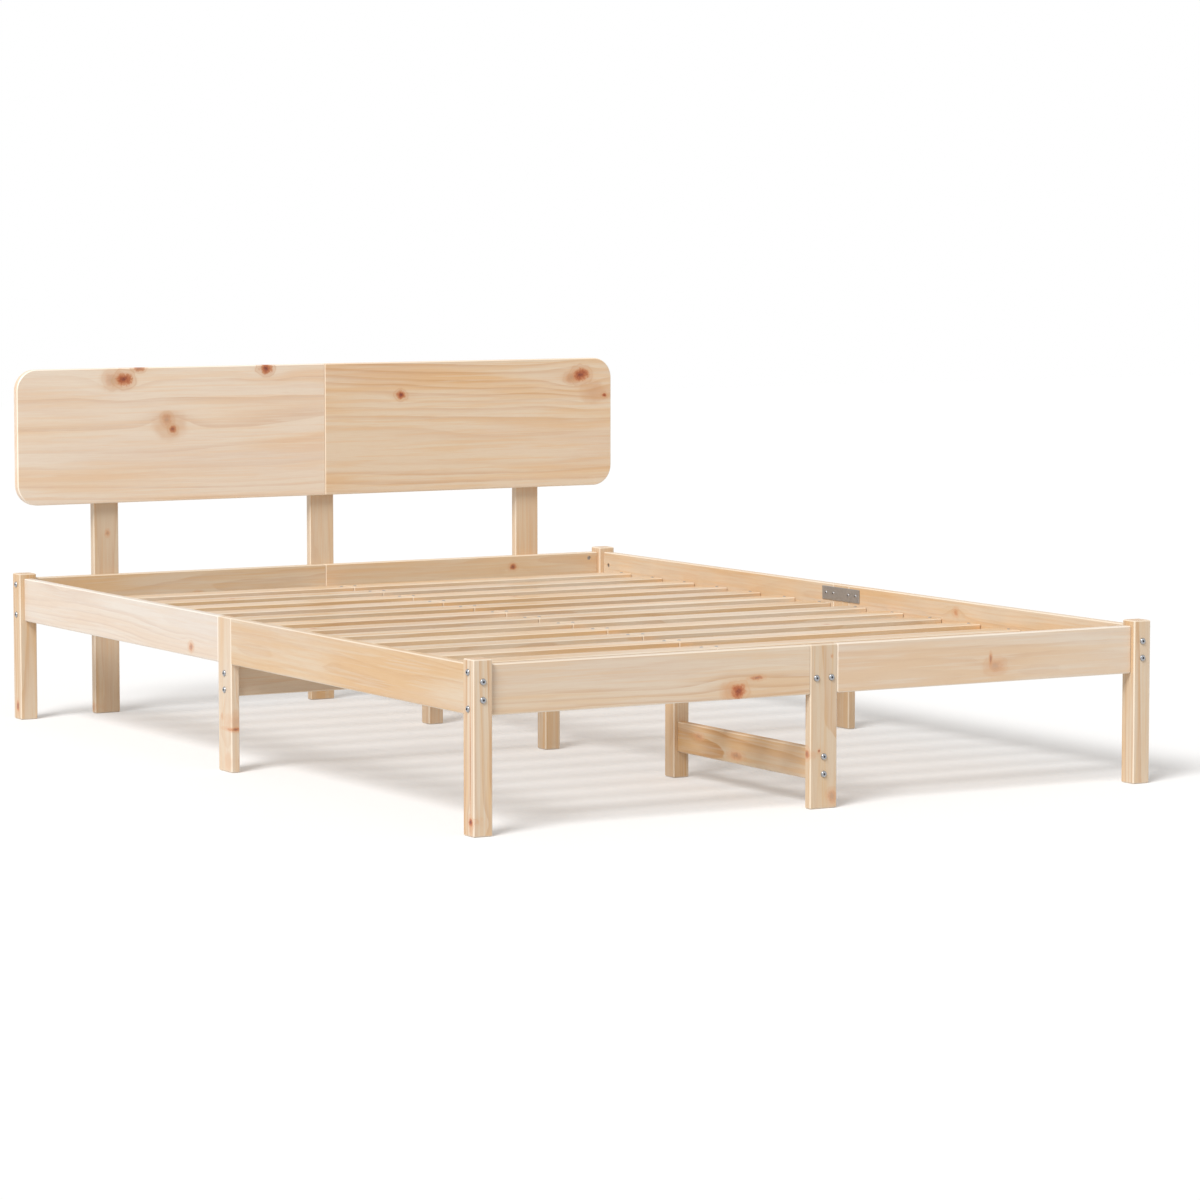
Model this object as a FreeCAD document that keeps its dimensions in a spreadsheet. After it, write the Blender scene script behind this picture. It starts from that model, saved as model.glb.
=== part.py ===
import FreeCAD, Part
import os
import re
import Sketcher

# A pine bed frame that comes apart into boards. Corner legs carry rails made of two halves each, flat leg
# boards stand at the middle of the sides and the foot, square posts carry a centre beam, and slats lie
# from the side rails' ledgers to that beam. The headboard's two panels are screwed to posts that reach the
# floor. The origin is on the floor under the middle of the frame: +Y is the head, +X is across, +Z is up.

# name, millimetres, what it is
SIZES = [
    ("bed_width", 1455, "outside of the corner legs, side to side"),
    ("bed_length", 2055, "outside of the corner legs, foot to head"),
    ("leg_side", 38, "side of a corner leg's square section"),
    ("leg_height", 310, "floor to the top of a corner leg"),
    ("edge_ease", 2, "bevel along the edges of every board"),
    ("stock_thick", 18, "thickness of the rails and of all narrow boards"),
    ("stock_width", 58, "width of the narrow boards"),
    ("rail_height", 90, "height of the side, foot and head rails"),
    ("rail_drop", 10, "rails' top edge below the top of the corner legs"),
    ("post_side", 34, "side of a centre post's square section"),
    ("post_pitch", 500, "from one centre post to the next"),
    ("beam_lift", 20, "underside of the centre beam above the rails' underside"),
    ("cross_drop", 6, "top of the cross beam below the rails' underside"),
    ("brace_bottom", 50, "floor to the underside of the brace"),
    ("ledger_thick", 20, "thickness of the ledgers on the side rails"),
    ("ledger_height", 28, "height of the ledgers"),
    ("ledger_play", 1.5, "gap between a ledger's end and the corner leg"),
    ("slat_rows", 14, "rows of slats, a count"),
    ("slat_width", 58, "width of a slat"),
    ("slat_thick", 12, "thickness of a slat"),
    ("slat_play", 1, "gap at a slat's outer end"),
    ("slat_ease", 1.5, "bevel along the edges of a slat"),
    ("head_width", 1450, "width of the headboard"),
    ("head_height", 288, "height of the headboard's panels"),
    ("head_lift", 153, "underside of the headboard above the rails' top"),
    ("head_corner", 45, "radius of the headboard's outer corners"),
    ("panel_thick", 18, "thickness of the headboard's panels"),
    ("head_post_drop", 41, "top of a headboard post below the headboard's top"),
    ("head_post_inset", 183, "outside of the corner legs to an outer headboard post"),
    ("pair_near", 32, "spacing of the close pairs of bolts"),
    ("pair_far", 64, "spacing of the wide pairs of bolts and of the dowels"),
    ("bolt_dia", 6, "diameter of a bolt's shank"),
    ("bolt_play", 1, "how much wider a bolt's hole is than its shank"),
    ("bolt_long", 70, "length of a long bolt under its head"),
    ("bolt_short", 50, "length of a short bolt under its head"),
    ("bolt_spare", 3, "how much deeper a bore is than its bolt reaches"),
    ("head_dia", 12, "diameter of a bolt's head"),
    ("head_high", 3.2, "height of a bolt's head"),
    ("head_slope", 2.2, "bevel round a bolt's head"),
    ("socket_wide", 4.6, "a bolt's hexagon socket, corner to corner"),
    ("socket_deep", 2, "depth of a bolt's hexagon socket"),
    ("nut_dia", 10, "diameter of a barrel nut"),
    ("nut_length", 14, "length of a barrel nut"),
    ("nut_play", 0.2, "how much wider a barrel nut's hole and its cross hole are"),
    ("nut_inset", 22, "board's end to the middle of its barrel nut"),
    ("dowel_dia", 8, "diameter of a dowel"),
    ("dowel_length", 30, "length of a rail dowel"),
    ("dowel_spare", 1, "how much deeper a dowel's hole is than the dowel reaches"),
    ("dowel_bite", 13, "how far a cross beam or post dowel reaches into a beam"),
    ("post_dowel_inset", 9, "a post dowel from the middle of its post"),
    ("plate_length", 140, "length of a joining plate"),
    ("plate_height", 28, "height of a joining plate"),
    ("plate_thick", 2, "thickness of a joining plate"),
    ("plate_drop", 6, "joining plate's top below the rails' top"),
    ("bore_flats", 8, "flats round a bore, shank, nut or dowel, a count that keeps the facets few"),
    ("head_flats", 12, "flats round a bolt's head, a count"),
    ("socket_flats", 6, "flats round a bolt's socket, a count"),
]

SKETCH_START = 10.0
ALIASES = {alias for alias, size, note in SIZES}

doc = FreeCAD.newDocument("bed_frame")
sheet = doc.addObject("Spreadsheet::Sheet", "sizes")
for row, (alias, size, note) in enumerate(SIZES, start=1):
    sheet.set(f"A{row}", alias)
    sheet.set(f"B{row}", str(size))
    sheet.set(f"C{row}", note)
    sheet.setAlias(f"B{row}", alias)
doc.recompute()

exported = []


# Places that several pieces share, as sums of the sheet's names

LEG_X = "(bed_width / 2 - leg_side / 2)"
LEG_Y = "(bed_length / 2 - leg_side / 2)"
LEG_IN_X = "(bed_width / 2 - leg_side)"
LEG_IN_Y = "(bed_length / 2 - leg_side)"
RAIL_OUT_X = "(bed_width / 2 - leg_side / 2 + stock_thick / 2)"
RAIL_OUT_Y = "(bed_length / 2 - leg_side / 2 + stock_thick / 2)"
RAIL_IN_X = "(bed_width / 2 - leg_side / 2 - stock_thick / 2)"
RAIL_IN_Y = "(bed_length / 2 - leg_side / 2 - stock_thick / 2)"
RAIL_TOP = "(leg_height - rail_drop)"
RAIL_BOTTOM = "(leg_height - rail_drop - rail_height)"
RAIL_MID = "(leg_height - rail_drop - rail_height / 2)"
POST_HEIGHT = "(leg_height - rail_drop - rail_height + beam_lift)"
BEAM_MID = "(leg_height - rail_drop - rail_height + beam_lift + stock_thick / 2)"
BEAM_TOP = "(leg_height - rail_drop - rail_height + beam_lift + stock_thick)"
CROSS_BOTTOM = "(leg_height - rail_drop - rail_height - cross_drop - stock_width)"
CROSS_MID = "(leg_height - rail_drop - rail_height - cross_drop - stock_width / 2)"
BRACE_MID = "(brace_bottom + stock_width / 2)"
BRACE_FOOT = "(post_pitch + post_side / 2)"
HEAD_BOTTOM = "(leg_height - rail_drop + head_lift)"
HEAD_POST_TOP = "(leg_height - rail_drop + head_lift + head_height - head_post_drop)"
HEAD_POST_X = "(bed_width / 2 - head_post_inset - stock_width / 2)"
HEAD_POST_Y = "(bed_length / 2 - leg_side / 2 + stock_thick)"
HEAD_POST_BACK = "(bed_length / 2 - leg_side / 2 + 3 * stock_thick / 2)"
SLAT_LENGTH = "(bed_width / 2 - leg_side / 2 - stock_thick / 2 - 3 * slat_play / 2)"
SLAT_GAP = "((bed_length - leg_side - stock_thick - slat_rows * slat_width) / (slat_rows + 1))"
PLATE_MID = "(leg_height - rail_drop - plate_drop - plate_height / 2)"
BOLT_HOLE = "(bolt_dia + bolt_play)"
NUT_HOLE = "(nut_dia + nut_play)"
NUT_DEPTH = "(stock_thick / 2 + nut_length / 2)"
REACH_RAIL = "(bolt_long - leg_side + bolt_spare)"
REACH_SHORT = "(bolt_short - stock_thick + bolt_spare)"
REACH_HEAD = "(bolt_long - 2 * stock_thick + bolt_spare)"
REACH_POST = "(bolt_long - post_side + bolt_spare)"
DOWEL_DEPTH = "(dowel_length / 2 + dowel_spare)"
CROSS_DOWEL = "(post_side + 2 * dowel_bite)"


def sheet_names(text):
    """The same expression with each name pointing at its cell in the sheet."""
    return re.sub(r"[a-z_]+", lambda word: f"sizes.{word[0]}" if word[0] in ALIASES else word[0], text)


def bind(thing, path, text):
    thing.setExpression(path, sheet_names(text))


def cell(alias):
    return float(sheet.get(alias))


def origin_plane(body, role):
    return next(feature for feature in body.Origin.OriginFeatures if feature.Role == role)


def new_sketch(body, role, name):
    sketch = body.newObject("Sketcher::SketchObject", name)
    sketch.AttachmentSupport = (origin_plane(body, role), [""])
    sketch.MapMode = "FlatFace"
    return sketch


def measure(sketch, kind, *where, text, start=SKETCH_START):
    """Adds a dimension that follows the sheet, from a start that is near its size."""
    number = sketch.addConstraint(Sketcher.Constraint(kind, *where, start))
    name = f"size_{number}"
    sketch.renameConstraint(number, name)
    bind(sketch, f"Constraints.{name}", text)


def put(thing, place):
    for axis, text in zip("xyz", place):
        bind(thing, f".Placement.Base.{axis}", text)


def rectangle(sketch, wide, deep):
    """A rectangle centred on the sketch's origin."""
    half = SKETCH_START / 2
    corners = [FreeCAD.Vector(x, y, 0) for x, y in ((-half, -half), (half, -half), (half, half), (-half, half))]
    for start, end in zip(corners, corners[1:] + corners[:1]):
        sketch.addGeometry(Part.LineSegment(start, end), False)
    for side in range(4):
        sketch.addConstraint(Sketcher.Constraint("Coincident", side, 2, (side + 1) % 4, 1))
        sketch.addConstraint(Sketcher.Constraint("Vertical" if side % 2 else "Horizontal", side))
    sketch.addConstraint(Sketcher.Constraint("Symmetric", 0, 1, 1, 2, -1, 1))
    measure(sketch, "DistanceX", 0, 1, 0, 2, text=wide)
    measure(sketch, "DistanceY", 1, 1, 1, 2, text=deep)


def turn_to(way):
    """The turn that takes +Z to the way, such as +X or -Y."""
    sign = 1 if way[0] == "+" else -1
    along = {"X": FreeCAD.Vector(sign, 0, 0), "Y": FreeCAD.Vector(0, sign, 0), "Z": FreeCAD.Vector(0, 0, sign)}
    return FreeCAD.Rotation(FreeCAD.Vector(0, 0, 1), along[way[1]])


def prism(body, kind, name, flats, diameter, length, way="+Z", place=("0", "0", "0")):
    """A bar or bore with flats, which stands for a round one, from its place along the way.

    Kind is Additive or Subtractive, and flats and sizes are names in the sheet or sums of them.
    """
    feature = body.newObject(f"PartDesign::{kind}Prism", name)
    bind(feature, "Polygon", flats)
    feature.Placement = FreeCAD.Placement(FreeCAD.Vector(), turn_to(way))
    bind(feature, "Circumradius", f"({diameter}) / 2")
    bind(feature, "Height", length)
    put(feature, place)
    return feature


def drill(body, way, face, spots, diameter, depth):
    """Bores that start at the plane at face on one axis and run along the way.

    Each spot is the bore's place on the two other axes, in X, Y, Z order.
    """
    for across, up in spots:
        place = {"X": (face, across, up), "Y": (across, face, up), "Z": (across, up, face)}[way[1]]
        prism(body, "Subtractive", f"{body.Name}_bore", "bore_flats", diameter, depth, way, place)


def board(name, size, place, drills=()):
    """A board with eased edges, centred on its place in X and Y and standing on it in Z."""
    body = doc.addObject("PartDesign::Body", name)
    body.Label = name
    sketch = new_sketch(body, "XY_Plane", f"{name}_outline")
    rectangle(sketch, size[0], size[1])
    pad = body.newObject("PartDesign::Pad", f"{name}_stock")
    pad.Profile = sketch
    bind(pad, "Length", size[2])
    eased = body.newObject("PartDesign::Chamfer", f"{name}_eased")
    eased.Base = (pad, [f"Edge{edge}" for edge in range(1, 13)])
    bind(eased, "Size", "edge_ease")
    for way, face, spots, diameter, depth in drills:
        drill(body, way, face, spots, diameter, depth)
    put(body, place)
    exported.append(body)
    return body


def pair(middle, spacing):
    """Two places, half the spacing below and above the middle."""
    return [f"{middle} - {spacing} / 2", f"{middle} + {spacing} / 2"]


def stacked(across, middle, spacing):
    return [(across, up) for up in pair(middle, spacing)]


# Corner legs

for end, end_sign in (("front", -1), ("rear", 1)):
    for side, side_sign in (("left", -1), ("right", 1)):
        board(
            f"leg_{end}_{side}",
            ("leg_side", "leg_side", "leg_height"),
            (f"{side_sign} * {LEG_X}", f"{end_sign} * {LEG_Y}", "0"),
            [
                ("+Y", "-leg_side / 2", stacked("0", RAIL_MID, "pair_near"), BOLT_HOLE, "leg_side"),
                ("+X", "-leg_side / 2", stacked("0", RAIL_MID, "pair_far"), BOLT_HOLE, "leg_side"),
            ],
        )


# Side rails, two halves on each side with a leg board between them

SIDE_HALF = f"({LEG_IN_Y} - stock_width / 2)"
for end, end_sign, into in (("front", -1, "+Y"), ("rear", 1, "-Y")):
    for side, side_sign, outward in (("left", -1, "-X"), ("right", 1, "+X")):
        leg_end = f"{end_sign} * {SIDE_HALF} / 2"
        board_end = f"{-end_sign} * {SIDE_HALF} / 2"
        out_of = {"+Y": "-Y", "-Y": "+Y"}[into]
        nut_y = f"{end_sign} * ({SIDE_HALF} / 2 - nut_inset)"
        board(
            f"side_rail_{side}_{end}",
            ("stock_thick", SIDE_HALF, "rail_height"),
            (
                f"{side_sign} * {LEG_X}",
                f"{end_sign} * ({LEG_IN_Y} + stock_width / 2) / 2",
                RAIL_BOTTOM,
            ),
            [
                (into, leg_end, stacked("0", "rail_height / 2", "pair_near"), BOLT_HOLE, REACH_RAIL),
                (
                    outward,
                    f"{-side_sign} * stock_thick / 2",
                    stacked(nut_y, "rail_height / 2", "pair_near"),
                    NUT_HOLE,
                    NUT_DEPTH,
                ),
                (out_of, board_end, stacked("0", "rail_height / 2", "pair_far"), "dowel_dia", DOWEL_DEPTH),
            ],
        )


# Foot rail, two halves with a leg board between them

FOOT_HALF = f"({LEG_IN_X} - stock_width / 2)"
for side, side_sign, into, out_of in (("left", -1, "+X", "-X"), ("right", 1, "-X", "+X")):
    nut_x = f"{side_sign} * ({FOOT_HALF} / 2 - nut_inset)"
    board(
        f"foot_rail_{side}",
        (FOOT_HALF, "stock_thick", "rail_height"),
        (f"{side_sign} * ({LEG_IN_X} + stock_width / 2) / 2", f"-{LEG_Y}", RAIL_BOTTOM),
        [
            (
                into,
                f"{side_sign} * {FOOT_HALF} / 2",
                stacked("0", "rail_height / 2", "pair_far"),
                BOLT_HOLE,
                REACH_RAIL,
            ),
            ("-Y", "stock_thick / 2", stacked(nut_x, "rail_height / 2", "pair_far"), NUT_HOLE, NUT_DEPTH),
            (
                out_of,
                f"{-side_sign} * {FOOT_HALF} / 2",
                stacked("0", "rail_height / 2", "pair_far"),
                "dowel_dia",
                DOWEL_DEPTH,
            ),
        ],
    )


# Head rail, two halves that meet in front of the centre headboard post

for side, side_sign, into in (("left", -1, "+X"), ("right", 1, "-X")):
    nut_x = f"{side_sign} * ({LEG_IN_X} / 2 - nut_inset)"
    beam_x = f"{-side_sign} * ({LEG_IN_X} / 2 - pair_near / 2)"
    board(
        f"head_rail_{side}",
        (LEG_IN_X, "stock_thick", "rail_height"),
        (f"{side_sign} * {LEG_IN_X} / 2", LEG_Y, RAIL_BOTTOM),
        [
            (
                into,
                f"{side_sign} * {LEG_IN_X} / 2",
                stacked("0", "rail_height / 2", "pair_far"),
                BOLT_HOLE,
                REACH_RAIL,
            ),
            ("+Y", "-stock_thick / 2", stacked(nut_x, "rail_height / 2", "pair_far"), NUT_HOLE, NUT_DEPTH),
            ("+Y", "-stock_thick / 2", [(beam_x, f"{BEAM_MID} - {RAIL_BOTTOM}")], BOLT_HOLE, "stock_thick"),
        ],
    )


# Leg boards at the middle of the foot and of each side

foot_board_holes = [(across, BEAM_MID) for across in pair("0", "pair_near")]
foot_board_holes += stacked("0", BRACE_MID, "pair_near")
board(
    "leg_board_foot",
    ("stock_width", "stock_thick", RAIL_TOP),
    ("0", f"-{LEG_Y}", "0"),
    [
        ("+Y", "-stock_thick / 2", foot_board_holes, BOLT_HOLE, "stock_thick"),
        ("+X", "-stock_width / 2", stacked("0", RAIL_MID, "pair_far"), "dowel_dia", DOWEL_DEPTH),
        ("-X", "stock_width / 2", stacked("0", RAIL_MID, "pair_far"), "dowel_dia", DOWEL_DEPTH),
    ],
)
for side, side_sign in (("left", -1), ("right", 1)):
    board(
        f"leg_board_{side}",
        ("stock_thick", "stock_width", RAIL_TOP),
        (f"{side_sign} * {LEG_X}", "0", "0"),
        [
            ("+X", "-stock_thick / 2", stacked("0", CROSS_MID, "pair_near"), BOLT_HOLE, "stock_thick"),
            ("+Y", "-stock_width / 2", stacked("0", RAIL_MID, "pair_far"), "dowel_dia", DOWEL_DEPTH),
            ("-Y", "stock_width / 2", stacked("0", RAIL_MID, "pair_far"), "dowel_dia", DOWEL_DEPTH),
        ],
    )


# Centre posts. The first is bolted to the brace and the middle one is dowelled to the cross beam

POST_DOWELS = ["-post_pitch", "-post_dowel_inset", "post_dowel_inset", "post_pitch"]
POST_BORE = "(dowel_length - dowel_bite + dowel_spare)"
one_dowel = [("-Z", POST_HEIGHT, [("0", "0")], "dowel_dia", POST_BORE)]
two_dowels = [("-Z", POST_HEIGHT, [("0", along) for along in POST_DOWELS[1:3]], "dowel_dia", POST_BORE)]
brace_bolts = [("+Y", "-post_side / 2", stacked("0", BRACE_MID, "pair_near"), BOLT_HOLE, "post_side")]
cross_dowels = [("+X", "-post_side / 2", stacked("0", CROSS_MID, "pair_near"), "dowel_dia", "post_side")]
post_size = ("post_side", "post_side", POST_HEIGHT)
board("centre_post_foot", post_size, ("0", "-post_pitch", "0"), one_dowel + brace_bolts)
board("centre_post_middle", post_size, ("0", "0", "0"), two_dowels + cross_dowels)
board("centre_post_head", post_size, ("0", "post_pitch", "0"), one_dowel)


# Centre beam, two flat halves that meet on the middle post

for end, end_sign, into, reach in (("foot", -1, "+Y", REACH_SHORT), ("head", 1, "-Y", REACH_HEAD)):
    nut_y = f"{end_sign} * ({RAIL_IN_Y} / 2 - nut_inset)"
    ends = [(across, "stock_thick / 2") for across in pair("0", "pair_near")]
    on_this_half = POST_DOWELS[:2] if end_sign < 0 else POST_DOWELS[2:]
    post_dowels = [f"{along} - {end_sign} * {RAIL_IN_Y} / 2" for along in on_this_half]
    board(
        f"centre_beam_{end}",
        ("stock_width", RAIL_IN_Y, "stock_thick"),
        ("0", f"{end_sign} * {RAIL_IN_Y} / 2", POST_HEIGHT),
        [
            (into, f"{end_sign} * {RAIL_IN_Y} / 2", ends, BOLT_HOLE, reach),
            ("+Z", "0", [(across, nut_y) for across in pair("0", "pair_near")], NUT_HOLE, NUT_DEPTH),
            ("+Z", "0", [("0", along) for along in post_dowels], "dowel_dia", "dowel_bite + dowel_spare"),
        ],
    )


# Cross beam, two halves from the side leg boards to the middle post

CROSS_HALF = f"({RAIL_IN_X} - post_side / 2)"
for side, side_sign, into, out_of in (("left", -1, "+X", "-X"), ("right", 1, "-X", "+X")):
    nut_x = f"{side_sign} * ({CROSS_HALF} / 2 - nut_inset)"
    board(
        f"cross_beam_{side}",
        (CROSS_HALF, "stock_thick", "stock_width"),
        (f"{side_sign} * ({RAIL_IN_X} + post_side / 2) / 2", "0", CROSS_BOTTOM),
        [
            (
                into,
                f"{side_sign} * {CROSS_HALF} / 2",
                stacked("0", "stock_width / 2", "pair_near"),
                BOLT_HOLE,
                REACH_SHORT,
            ),
            ("-Y", "stock_thick / 2", stacked(nut_x, "stock_width / 2", "pair_near"), NUT_HOLE, NUT_DEPTH),
            (
                out_of,
                f"{-side_sign} * {CROSS_HALF} / 2",
                stacked("0", "stock_width / 2", "pair_near"),
                "dowel_dia",
                "dowel_bite + dowel_spare",
            ),
        ],
    )


# Brace from the foot's leg board to the first centre post

BRACE_LENGTH = f"({RAIL_IN_Y} - {BRACE_FOOT})"
board(
    "foot_brace",
    ("stock_thick", BRACE_LENGTH, "stock_width"),
    ("0", f"-({RAIL_IN_Y} + {BRACE_FOOT}) / 2", "brace_bottom"),
    [
        ("+Y", f"-{BRACE_LENGTH} / 2", stacked("0", "stock_width / 2", "pair_near"), BOLT_HOLE, REACH_SHORT),
        ("-Y", f"{BRACE_LENGTH} / 2", stacked("0", "stock_width / 2", "pair_near"), BOLT_HOLE, REACH_POST),
        (
            "-X",
            "stock_thick / 2",
            stacked(f"-({BRACE_LENGTH} / 2 - nut_inset)", "stock_width / 2", "pair_near")
            + stacked(f"({BRACE_LENGTH} / 2 - nut_inset)", "stock_width / 2", "pair_near"),
            NUT_HOLE,
            NUT_DEPTH,
        ),
    ],
)


# Ledgers on the side rails, level with the centre beam's top

LEDGER_LENGTH = f"({LEG_IN_Y} - ledger_play)"
for end, end_sign in (("front", -1), ("rear", 1)):
    for side, side_sign in (("left", -1), ("right", 1)):
        board(
            f"ledger_{side}_{end}",
            ("ledger_thick", LEDGER_LENGTH, "ledger_height"),
            (
                f"{side_sign} * ({RAIL_IN_X} - ledger_thick / 2)",
                f"{end_sign} * {LEDGER_LENGTH} / 2",
                f"{BEAM_TOP} - ledger_height",
            ),
        )


# Headboard posts behind the head rail

for side, across in (("left", f"-{HEAD_POST_X}"), ("centre", "0"), ("right", HEAD_POST_X)):
    holes = []
    if side == "centre":
        beam_bolts = [(place, BEAM_MID) for place in pair("0", "pair_near")]
        holes.append(("+Y", "-stock_thick / 2", beam_bolts, BOLT_HOLE, "stock_thick"))
    board(
        f"headboard_post_{side}",
        ("stock_width", "stock_thick", HEAD_POST_TOP),
        (across, HEAD_POST_Y, "0"),
        holes,
    )


# Headboard, two panels whose outer corners are round

def headboard_panel(name, sign):
    """One panel from the seam outwards, sign -1 to the left and 1 to the right."""
    body = doc.addObject("PartDesign::Body", name)
    body.Label = name
    sketch = new_sketch(body, "XZ_Plane", f"{name}_outline")
    wide = sign * cell("head_width") / 2
    high = cell("head_height")
    radius = cell("head_corner")
    inner = wide - sign * radius
    points = [(0, 0), (inner, 0), (wide, radius), (wide, high - radius), (inner, high), (0, high)]
    corner = [FreeCAD.Vector(x, z, 0) for x, z in points]
    for start, end in ((0, 1), (2, 3), (4, 5), (5, 0)):
        sketch.addGeometry(Part.LineSegment(corner[start], corner[end]), False)
    bulge = radius - radius / 2 ** 0.5
    for start, end, middle in ((1, 2, (wide - sign * bulge, bulge)), (3, 4, (wide - sign * bulge, high - bulge))):
        arc = Part.Arc(corner[start], FreeCAD.Vector(*middle, 0), corner[end])
        sketch.addGeometry(arc, False)
    for kind, line in (("Horizontal", 0), ("Vertical", 1), ("Horizontal", 2), ("Vertical", 3)):
        sketch.addConstraint(Sketcher.Constraint(kind, line))
    # A left panel's arcs run clockwise, so their ends change places
    near, far = (1, 2) if sign > 0 else (2, 1)
    sketch.addConstraint(Sketcher.Constraint("Tangent", 0, 2, 4, near))
    sketch.addConstraint(Sketcher.Constraint("Tangent", 4, far, 1, 1))
    sketch.addConstraint(Sketcher.Constraint("Tangent", 1, 2, 5, near))
    sketch.addConstraint(Sketcher.Constraint("Tangent", 5, far, 2, 1))
    sketch.addConstraint(Sketcher.Constraint("Coincident", 2, 2, 3, 1))
    sketch.addConstraint(Sketcher.Constraint("Coincident", 3, 2, 0, 1))
    sketch.addConstraint(Sketcher.Constraint("Coincident", 0, 1, -1, 1))
    sketch.addConstraint(Sketcher.Constraint("Equal", 4, 5))
    measure(sketch, "Radius", 4, text="head_corner", start=radius)
    measure(sketch, "DistanceX", -1, 1, 1, 1, text=f"{sign} * head_width / 2", start=wide)
    measure(sketch, "DistanceY", -1, 1, 2, 2, text="head_height", start=high)
    pad = body.newObject("PartDesign::Pad", f"{name}_stock")
    pad.Profile = sketch
    bind(pad, "Length", "panel_thick")
    doc.recompute()
    eased = body.newObject("PartDesign::Chamfer", f"{name}_eased")
    eased.Base = (pad, ["Face7", "Face8"])
    bind(eased, "Size", "edge_ease")
    put(body, ("0", f"{HEAD_POST_Y} - stock_thick / 2", HEAD_BOTTOM))
    exported.append(body)
    return body


headboard_panel("headboard_panel_left", -1)
headboard_panel("headboard_panel_right", 1)


# Pieces that repeat: one body is drawn and stands in each of its places

FACING = {way: turn_to(way) for way in ("+X", "-X", "+Y", "-Y", "+Z")}
FACING["nut in side"] = FreeCAD.Rotation(FreeCAD.Vector(1, 1, 1), 120)
FACING["nut in end"] = FreeCAD.Rotation(FreeCAD.Vector(1, 0, 0), -90)
FACING["turned"] = FreeCAD.Rotation(FreeCAD.Vector(0, 0, 1), 90)


def repeated(name, master, places):
    """One node that holds a copy of the master at each place, a facing and three expressions."""
    copies = []
    for number, (facing, *place) in enumerate(places, start=1):
        copy = doc.addObject("App::Link", f"{name}_{number}")
        copy.LinkedObject = master
        copy.LinkPlacement = FreeCAD.Placement(FreeCAD.Vector(), FACING[facing])
        for axis, text in zip("xyz", place):
            bind(copy, f".LinkPlacement.Base.{axis}", text)
        copies.append(copy)
    group = doc.addObject("Part::Compound", name)
    group.Label = name
    group.Links = copies
    exported.append(group)
    return group


# Slats, a left and a right one in each row

slat = board("slat", (SLAT_LENGTH, "slat_width", "slat_thick"), ("0", "0", "0"))
exported.remove(slat)
bind(slat.Tip, "Size", "slat_ease")
slat_x = f"({RAIL_IN_X} - slat_play - {SLAT_LENGTH} / 2)"
for row in range(int(cell("slat_rows"))):
    slat_y = f"-{RAIL_IN_Y} + {row + 1} * {SLAT_GAP} + ({row} + 1 / 2) * slat_width"
    places = [("+Z", f"{sign} * {slat_x}", slat_y, BEAM_TOP) for sign in (-1, 1)]
    repeated(f"slat_row_{row + 1:02d}", slat, places)


# Bolts. Each head looks along the facing and rests on the plane through its place

def bolt(name, length):
    body = doc.addObject("PartDesign::Body", name)
    prism(body, "Additive", f"{name}_shank", "bore_flats", "bolt_dia", length, "-Z")
    head = prism(body, "Additive", f"{name}_head", "head_flats", "head_dia", "head_high")
    doc.recompute()
    top = max(range(len(head.Shape.Faces)), key=lambda face: head.Shape.Faces[face].CenterOfMass.z)
    sloped = body.newObject("PartDesign::Chamfer", f"{name}_sloped")
    sloped.Base = (head, [f"Face{top + 1}"])
    bind(sloped, "Size", "head_slope")
    socket = ("socket_flats", "socket_wide", "socket_deep", "-Z", ("0", "0", "head_high"))
    prism(body, "Subtractive", f"{name}_socket", *socket)
    return body


long_places = []
short_places = []
nut_places = []
for side_sign in (-1, 1):
    for end_sign in (-1, 1):
        for up in pair(RAIL_MID, "pair_near"):
            facing = "+Y" if end_sign > 0 else "-Y"
            across = f"{side_sign} * {LEG_X}"
            long_places.append((facing, across, f"{end_sign} * bed_length / 2", up))
            nut_places.append(("nut in side", across, f"{end_sign} * ({LEG_IN_Y} - nut_inset)", up))
        for up in pair(RAIL_MID, "pair_far"):
            facing = "+X" if side_sign > 0 else "-X"
            along = f"{end_sign} * {LEG_Y}"
            long_places.append((facing, f"{side_sign} * bed_width / 2", along, up))
            nut_places.append(("nut in end", f"{side_sign} * ({LEG_IN_X} - nut_inset)", along, up))
    for up in pair(CROSS_MID, "pair_near"):
        facing = "+X" if side_sign > 0 else "-X"
        short_places.append((facing, f"{side_sign} * {RAIL_OUT_X}", "0", up))
        nut_places.append(("nut in end", f"{side_sign} * ({RAIL_IN_X} - nut_inset)", "0", up))
for across in pair("0", "pair_near"):
    short_places.append(("-Y", across, f"-{RAIL_OUT_Y}", BEAM_MID))
    long_places.append(("+Y", across, HEAD_POST_BACK, BEAM_MID))
    for end_sign in (-1, 1):
        nut_places.append(("turned", across, f"{end_sign} * ({RAIL_IN_Y} - nut_inset)", BEAM_MID))
for up in pair(BRACE_MID, "pair_near"):
    short_places.append(("-Y", "0", f"-{RAIL_OUT_Y}", up))
    long_places.append(("+Y", "0", "-post_pitch + post_side / 2", up))
    nut_places.append(("nut in side", "0", f"-({RAIL_IN_Y} - nut_inset)", up))
    nut_places.append(("nut in side", "0", f"-({BRACE_FOOT} + nut_inset)", up))

repeated("bolts_long", bolt("bolt_long_master", "bolt_long"), long_places)
repeated("bolts_short", bolt("bolt_short_master", "bolt_short"), short_places)


# Barrel nuts, with the bolt's hole through their middle

nut = doc.addObject("PartDesign::Body", "nut_master")
prism(nut, "Additive", "nut_bar", "bore_flats", "nut_dia", "nut_length", "+Z", ("0", "0", "-nut_length / 2"))
drill(nut, "+X", "-nut_dia / 2", [("0", "0")], "bolt_dia + nut_play", "nut_dia")
repeated("barrel_nuts", nut, nut_places)


# Dowels, from their place along their facing

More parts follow.
